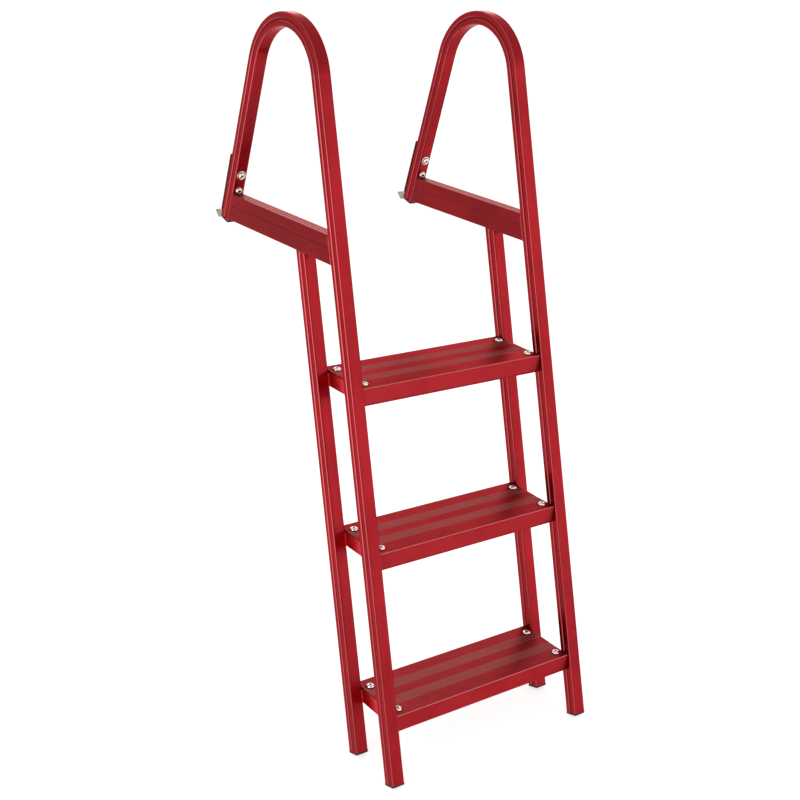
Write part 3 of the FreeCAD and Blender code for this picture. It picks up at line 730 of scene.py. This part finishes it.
def socket_bolt(mesh, place, radius, height, shank_radius, length):
    """Button-head socket bolt along the local Z axis, seated at its origin."""
    mouth = SOCKET_WIDTH / 2 / math.cos(math.pi / 6) + LIP_WIDTH
    foot, crown = turned(mesh, place, dome_profile(radius, height, mouth))
    lid(mesh, foot, flip=True)
    lip = ring(mesh, place, hexagon(SOCKET_WIDTH), height - LIP_DEPTH)
    band(mesh, crown, lip)
    floor = ring(mesh, place, hexagon(SOCKET_WIDTH), height - SOCKET_DEPTH)
    # Finish 1, inside the socket, is painted shade
    band(mesh, lip, floor, 1)
    cone = ring(mesh, place, round_of(DRILL_RADIUS), height - DRILL_DEPTH)
    band(mesh, floor, cone, 1)
    lid(mesh, cone, 1)
    threaded_shank(mesh, place, shank_radius, length)


SHANK_RADIUS = 3 * MM
SHANK_LENGTH = 14 * MM              # of the tread bolts
HEAD_HEIGHT = 4 * MM
PLATE_HEAD = 6.5 * MM               # radius of the plate bolts' heads


def tread_bolt_places(step):
    """Seats of a tread's four bolts, at the corners of their node's box."""
    node = step + "_tread_bolts"
    near, far = low(node), high(node)
    seat = high(step + "_tread").z
    return [Matrix.Translation((x, y, seat))
            for x in (near.x + TREAD_HEAD, far.x - TREAD_HEAD)
            for y in (near.y + TREAD_HEAD, far.y - TREAD_HEAD)]


for step in STEPS:
    mesh = bmesh.new()
    for place in tread_bolt_places(step):
        socket_bolt(mesh, place, TREAD_HEAD, HEAD_HEIGHT, SHANK_RADIUS, SHANK_LENGTH)
    name = step + "_tread_socket_bolts"
    add_piece(name, finish_mesh(mesh, name), ("steel", "socket"),
              [step + "_tread_bolts"])


# Bolts and washers of the mounting plates, square to the leg's front face

WASHER_THICKNESS = 1.2 * MM
WASHER_CLEARANCE = 0.3 * MM         # between the bolt's shank and the washer's bore
BOLT_SHADE_WIDTH = 1.2 * MM              # ring of painted shade on a washer, round the bolt's head
UPPER_WASHER = (high("left_plate_washers").x - low("left_plate_washers").x) / 2
LOWER_WASHER = 6.9 * MM             # radius, smaller than the upper one's
WASHER_FRONT = LEG_FRONT - WASHER_THICKNESS
UPPER_BOLT = ((high("left_plate_washers").z - LEG_FRONT * math.sin(LEAN)) / math.cos(LEAN)
              - UPPER_WASHER)       # above the plate's middle, along the leg
LOWER_BOLT = ((low("left_plate_washers").z - WASHER_FRONT * math.sin(LEAN)) / math.cos(LEAN)
              + LOWER_WASHER)


def leg_place(side, depth, along):
    """Frame whose Z points out of the leg's front face, at a depth behind the
    plate's back face and a distance along the leg."""
    centre = Vector((middle(side + "_mounting_plate").x, 0, 0))
    point = centre + BEHIND_LEG * depth + ALONG_LEG * along
    turn = Matrix((ACROSS, ALONG_LEG, -BEHIND_LEG)).transposed().to_4x4()
    return Matrix.Translation(point) @ turn


def washer(mesh, place, radius):
    """Flat washer with rounded rims, and painted shade in the ring round the bolt's head."""
    top = WASHER_THICKNESS
    bore = SHANK_RADIUS + WASHER_CLEARANCE
    # Ring of painted shade round the bolt's head
    shaded_radius = min(PLATE_HEAD + BOLT_SHADE_WIDTH, radius - 2 * RIM)
    bright = [(bore, RIM), (bore + RIM, 0), (radius - RIM, 0), (radius, RIM),
              (radius, top - RIM), (radius - RIM, top), (shaded_radius, top)]
    first, edge = turned(mesh, place, bright)
    inner = ring(mesh, place, round_of(bore + RIM), top)
    band(mesh, edge, inner, 1)
    last = ring(mesh, place, round_of(bore), top - RIM)
    band(mesh, inner, last, 1)
    band(mesh, last, first)


for side in SIDES:
    bolts = bmesh.new()
    washers = bmesh.new()
    for along, washer_radius in ((UPPER_BOLT, UPPER_WASHER), (LOWER_BOLT, LOWER_WASHER)):
        washer(washers, leg_place(side, LEG_FRONT, along), washer_radius)
        socket_bolt(bolts, leg_place(side, WASHER_FRONT, along), PLATE_HEAD,
                    HEAD_HEIGHT, SHANK_RADIUS, RAIL_SIZE + PLATE_THICKNESS)
    name = side + "_plate_socket_bolts"
    add_piece(name, finish_mesh(bolts, name), ("steel", "socket"),
              [side + "_plate_bolts"])
    name = side + "_plate_round_washers"
    add_piece(name, finish_mesh(washers, name), ("steel", "socket"),
              [side + "_plate_washers"])


# Weld beads: a rippled rope of metal in the notch between two pieces

BEAD_SIDES = 10
RIPPLE = 2.2 * MM                   # from one coin of the bead to the next
RINGS_A_RIPPLE = 4
FEWEST_RINGS = 6
COIN_SWELL = 0.16                   # share of the radius that comes and goes with each coin
UNEVENNESS = 0.05
BLUNT_END = 0.04                    # least squared share of the radius at a bead's tip


def bead(mesh, start, stop, radius, dice):
    """Stacked-coin bead from one point to another, closed at both ends."""
    line = stop - start
    length = line.length
    along = line.normalized()
    aside = along.orthogonal().normalized()
    third = along.cross(aside)
    count = max(FEWEST_RINGS, int(length / (RIPPLE / RINGS_A_RIPPLE)))
    rings = []
    phase = dice.random()
    for index in range(count + 1):
        run = length * index / count
        wave = abs(math.sin(math.pi * (run / RIPPLE + phase)))
        thick = radius * (1 - COIN_SWELL + COIN_SWELL * wave)
        thick *= 1 + UNEVENNESS * (dice.random() - 0.5)
        end = min(run, length - run)
        if end < radius:
            thick *= math.sqrt(max(BLUNT_END, 1 - (1 - end / radius) ** 2))
        centre = start + along * run
        corners = []
        for side in range(BEAD_SIDES):
            angle = 2 * math.pi * side / BEAD_SIDES
            offset = aside * math.cos(angle) + third * math.sin(angle)
            corners.append(mesh.verts.new(centre + offset * thick))
        rings.append(corners)
    for first, second in zip(rings, rings[1:]):
        for side in range(BEAD_SIDES):
            following = (side + 1) % BEAD_SIDES
            mesh.faces.new((first[side], first[following], second[following], second[side]))
    mesh.faces.new(rings[0][::-1])
    mesh.faces.new(rings[-1])


WELD_RADIUS = 1.9 * MM
SMALL_WELD_RADIUS = 0.8 * WELD_RADIUS
NOTCH = 2.0 * MM                    # a bead's centre in from the face beside it
END_GAP = 1 * MM                    # a bead's end short of the joint's end
TUBE_SINK = 0.4 * MM                # a bead's centre past the tube's face, into the rail's side
TUBE_END = 1.5 * MM                 # a bead nearer than this to the tube's rear end is left out


def weld_dice(name):
    """Seeded, so that each bead comes out the same at every run."""
    return random.Random(name)


def rail_edge(node, height, behind):
    """Distance back of a line along a rail, at a height. The line lies behind the
    rail's front face by a depth square to the rail."""
    box_low = low(node)
    foot_front = box_low.y
    foot_height = box_low.z + RAIL_SIZE * math.sin(LEAN)
    return foot_front + (height - foot_height) * math.tan(LEAN) + behind / math.cos(LEAN)


def tube_welds(step, side):
    """Beads up the rails' edges where the cross tube lies against them."""
    tube = step + "_" + side + "_cross_tube"
    towards = 1 if side == "left" else -1
    face = low(tube).x if side == "left" else high(tube).x
    bottom, top = low(tube).z + END_GAP, high(tube).z - END_GAP
    mesh = bmesh.new()
    dice = weld_dice(tube)
    edges = (
        (side + "_handrail", RAIL_SIZE - NOTCH),
        (side + "_rear_rail", NOTCH),
        (side + "_rear_rail", RAIL_SIZE - NOTCH),
    )
    for rail, behind in edges:
        ends = []
        for height in (bottom, top):
            y = rail_edge(rail, height, behind)
            ends.append(Vector((face - towards * TUBE_SINK, y, height)))
        reach = high(tube).y - TUBE_END
        if min(end.y for end in ends) > reach:
            continue
        bead(mesh, ends[0], ends[1], WELD_RADIUS, dice)
    name = tube + "_welds"
    add_piece(name, finish_mesh(mesh, name), ("weld",))


for step in STEPS:
    for side in SIDES:
        tube_welds(step, side)


def mitre_point(side, end, across, height):
    """Point of the deck bar's mitred end at a place across it and a height."""
    bar = side + "_deck_bar"
    centre = middle(bar).x
    rise = height - low(bar).z
    if end == "front":
        y = low(bar).y + rise * math.tan(LEAN)
    else:
        y = high(bar).y - rise * math.tan(LEAN)
    return Vector((centre + across, y, height))


def bar_welds(side):
    """Beads round both mitred ends of the deck bar."""
    bar = side + "_deck_bar"
    dice = weld_dice(bar)
    mesh = bmesh.new()
    bottom, top = low(bar).z, high(bar).z
    half = RAIL_SIZE / 2 - NOTCH
    for end in ("front", "rear"):
        for across in (-half, half):
            bead(mesh, mitre_point(side, end, across, bottom + END_GAP),
                 mitre_point(side, end, across, top - END_GAP), WELD_RADIUS, dice)
        reach = half - RAIL_CORNER / 2
        for height in (bottom, top):
            bead(mesh, mitre_point(side, end, -reach, height),
                 mitre_point(side, end, reach, height), SMALL_WELD_RADIUS, dice)
    name = bar + "_welds"
    add_piece(name, finish_mesh(mesh, name), ("weld",))


RAIL_WELD_DROP = 0.6 * MM           # a bead's centre below the rail's top


def rear_rail_welds(side):
    """Beads round the rear rail's level top, under the deck bar."""
    rail = side + "_rear_rail"
    dice = weld_dice(rail)
    mesh = bmesh.new()
    height = high(rail).z - RAIL_WELD_DROP
    centre = middle(rail).x
    half = RAIL_SIZE / 2
    inset = half - (1 + UNEVENNESS) * SMALL_WELD_RADIUS
    front = rail_edge(rail, height, 0)
    back = rail_edge(rail, height, RAIL_SIZE)
    reach = half - RAIL_CORNER
    runs = (
        ((-reach, front), (reach, front)),
        ((-reach, back), (reach, back)),
        ((-inset, front + RAIL_CORNER), (-inset, back - RAIL_CORNER)),
        ((inset, front + RAIL_CORNER), (inset, back - RAIL_CORNER)),
    )
    for first, second in runs:
        bead(mesh, Vector((centre + first[0], first[1], height)),
             Vector((centre + second[0], second[1], height)), SMALL_WELD_RADIUS, dice)
    name = rail + "_welds"
    add_piece(name, finish_mesh(mesh, name), ("weld",))


for side in SIDES:
    bar_welds(side)
    rear_rail_welds(side)


# Stage, lights and camera

FLOOR_HEIGHT = min(low("front_left_foot_cap").z, low("rear_left_foot_cap").z)
LADDER_MIDDLE = Vector((LADDER_MIDDLE_X, -300 * MM, -300 * MM))
FLOOR_REACH = 30.0
ROOM_LIGHT = 0.60                   # strength of the white surround as a lamp
FLOOR_GLOW = 0.66                   # added to the lit floor to make it white
CEILING_LIGHT = 0.88                # the ceiling's share of the surround's light
LAMP_POWER = 4                      # watts to a square metre of lamp, at a radiance of 1

# The photograph's viewpoint: eye height, in front of the ladder and to its left
CAMERA_PLACE = Vector((-1.33513, -2.36369, 0.58032))
CAMERA_HEADING = math.radians(-37.42387)     # from looking along +Y
CAMERA_TILT = math.radians(72.78173)         # up from looking straight down
CAMERA_ROLL = math.radians(3.66595)


def seen_directly(material_or_world):
    """1 for camera, glossy and transmission rays, which see the background white."""
    path = material_or_world.node_tree.nodes.new("ShaderNodeLightPath")
    share = calculate(material_or_world, "MAXIMUM", path.outputs["Is Camera Ray"],
                      path.outputs["Is Glossy Ray"])
    return calculate(material_or_world, "MAXIMUM", share, path.outputs["Is Transmission Ray"])


def floor_finish():
    """White seamless paper with barely visible fibres. It keeps the shadow."""
    material = new_material("studio_paper")
    shader = shader_of(material)
    place = object_point(material)
    fibres = noise(material, place, 60, 4.0)
    colour = blend_colours(material, spread(material, fibres, 0.3, 0.7),
                           (0.80, 0.80, 0.80, 1), (0.82, 0.82, 0.82, 1))
    feed(material, shader.inputs["Base Color"], colour)
    shader.inputs["Roughness"].default_value = 0.9
    shader.inputs["Specular IOR Level"].default_value = 0.1
    shader.inputs["Emission Color"].default_value = (1, 1, 1, 1)
    feed(material, shader.inputs["Emission Strength"],
         calculate(material, "MULTIPLY", seen_directly(material), FLOOR_GLOW))
    return material


def add_floor():
    mesh = bmesh.new()
    bmesh.ops.create_grid(mesh, x_segments=4, y_segments=4, size=FLOOR_REACH)
    data = bpy.data.meshes.new("studio_floor")
    mesh.to_mesh(data)
    mesh.free()
    data.materials.append(floor_finish())
    floor = bpy.data.objects.new("studio_floor", data)
    floor.location = (LADDER_MIDDLE.x, LADDER_MIDDLE.y, FLOOR_HEIGHT)
    bpy.context.scene.collection.objects.link(floor)


def add_softbox(name, direction, distance, width, height, radiance):
    """A rectangular lamp that faces the ladder's middle. A radiance of 1 is as
    bright as the surround looks to the camera."""
    place = LADDER_MIDDLE + Vector(direction).normalized() * distance
    light = bpy.data.lights.new(name, "AREA")
    light.shape = "RECTANGLE"
    light.size = width
    light.size_y = height
    light.energy = radiance * LAMP_POWER * width * height
    lamp = bpy.data.objects.new(name, light)
    lamp.location = place
    lamp.rotation_mode = "QUATERNION"
    lamp.rotation_quaternion = (LADDER_MIDDLE - place).to_track_quat("-Z", "Y")
    bpy.context.scene.collection.objects.link(lamp)


def add_world():
    """White surround, a little dimmer overhead, as a studio's ceiling is."""
    world = bpy.data.worlds.new("studio")
    world.use_nodes = True
    background = world.node_tree.nodes["Background"]
    background.inputs["Color"].default_value = (1.0, 1.0, 1.0, 1)
    direction = world.node_tree.nodes.new("ShaderNodeTexCoord").outputs["Generated"]
    ceiling = spread(world, component(world, direction, UP), 0.45, 0.85, 1.0, CEILING_LIGHT)
    level = spread(world, seen_directly(world), 0.0, 1.0, ROOM_LIGHT, 1.0)
    feed(world, background.inputs["Strength"], calculate(world, "MULTIPLY", ceiling, level))
    bpy.context.scene.world = world


def add_camera():
    data = bpy.data.cameras.new("photo_view")
    data.sensor_width = 36
    data.lens = 62.97
    data.shift_x = -0.0196
    data.shift_y = -0.1046
    data.dof.use_dof = False
    camera = bpy.data.objects.new("photo_view", data)
    camera.matrix_world = (Matrix.Translation(CAMERA_PLACE)
                           @ Matrix.Rotation(CAMERA_HEADING, 4, "Z")
                           @ Matrix.Rotation(CAMERA_TILT, 4, "X")
                           @ Matrix.Rotation(CAMERA_ROLL, 4, "Z"))
    bpy.context.scene.collection.objects.link(camera)
    bpy.context.scene.camera = camera


add_floor()
add_softbox("front_softbox", direction=(0.58, -0.80, 0.11), distance=2.8,
            width=3.0, height=2.7, radiance=0.56)
add_softbox("left_softbox", direction=(-0.97, -0.28, 0.05), distance=2.4,
            width=1.3, height=1.8, radiance=2.0)
add_softbox("high_back_softbox", direction=(0.58, 0.76, 0.47), distance=3.26,
            width=2.0, height=0.6, radiance=1.75)
add_world()
add_camera()
bpy.context.scene.view_settings.view_transform = "Standard"
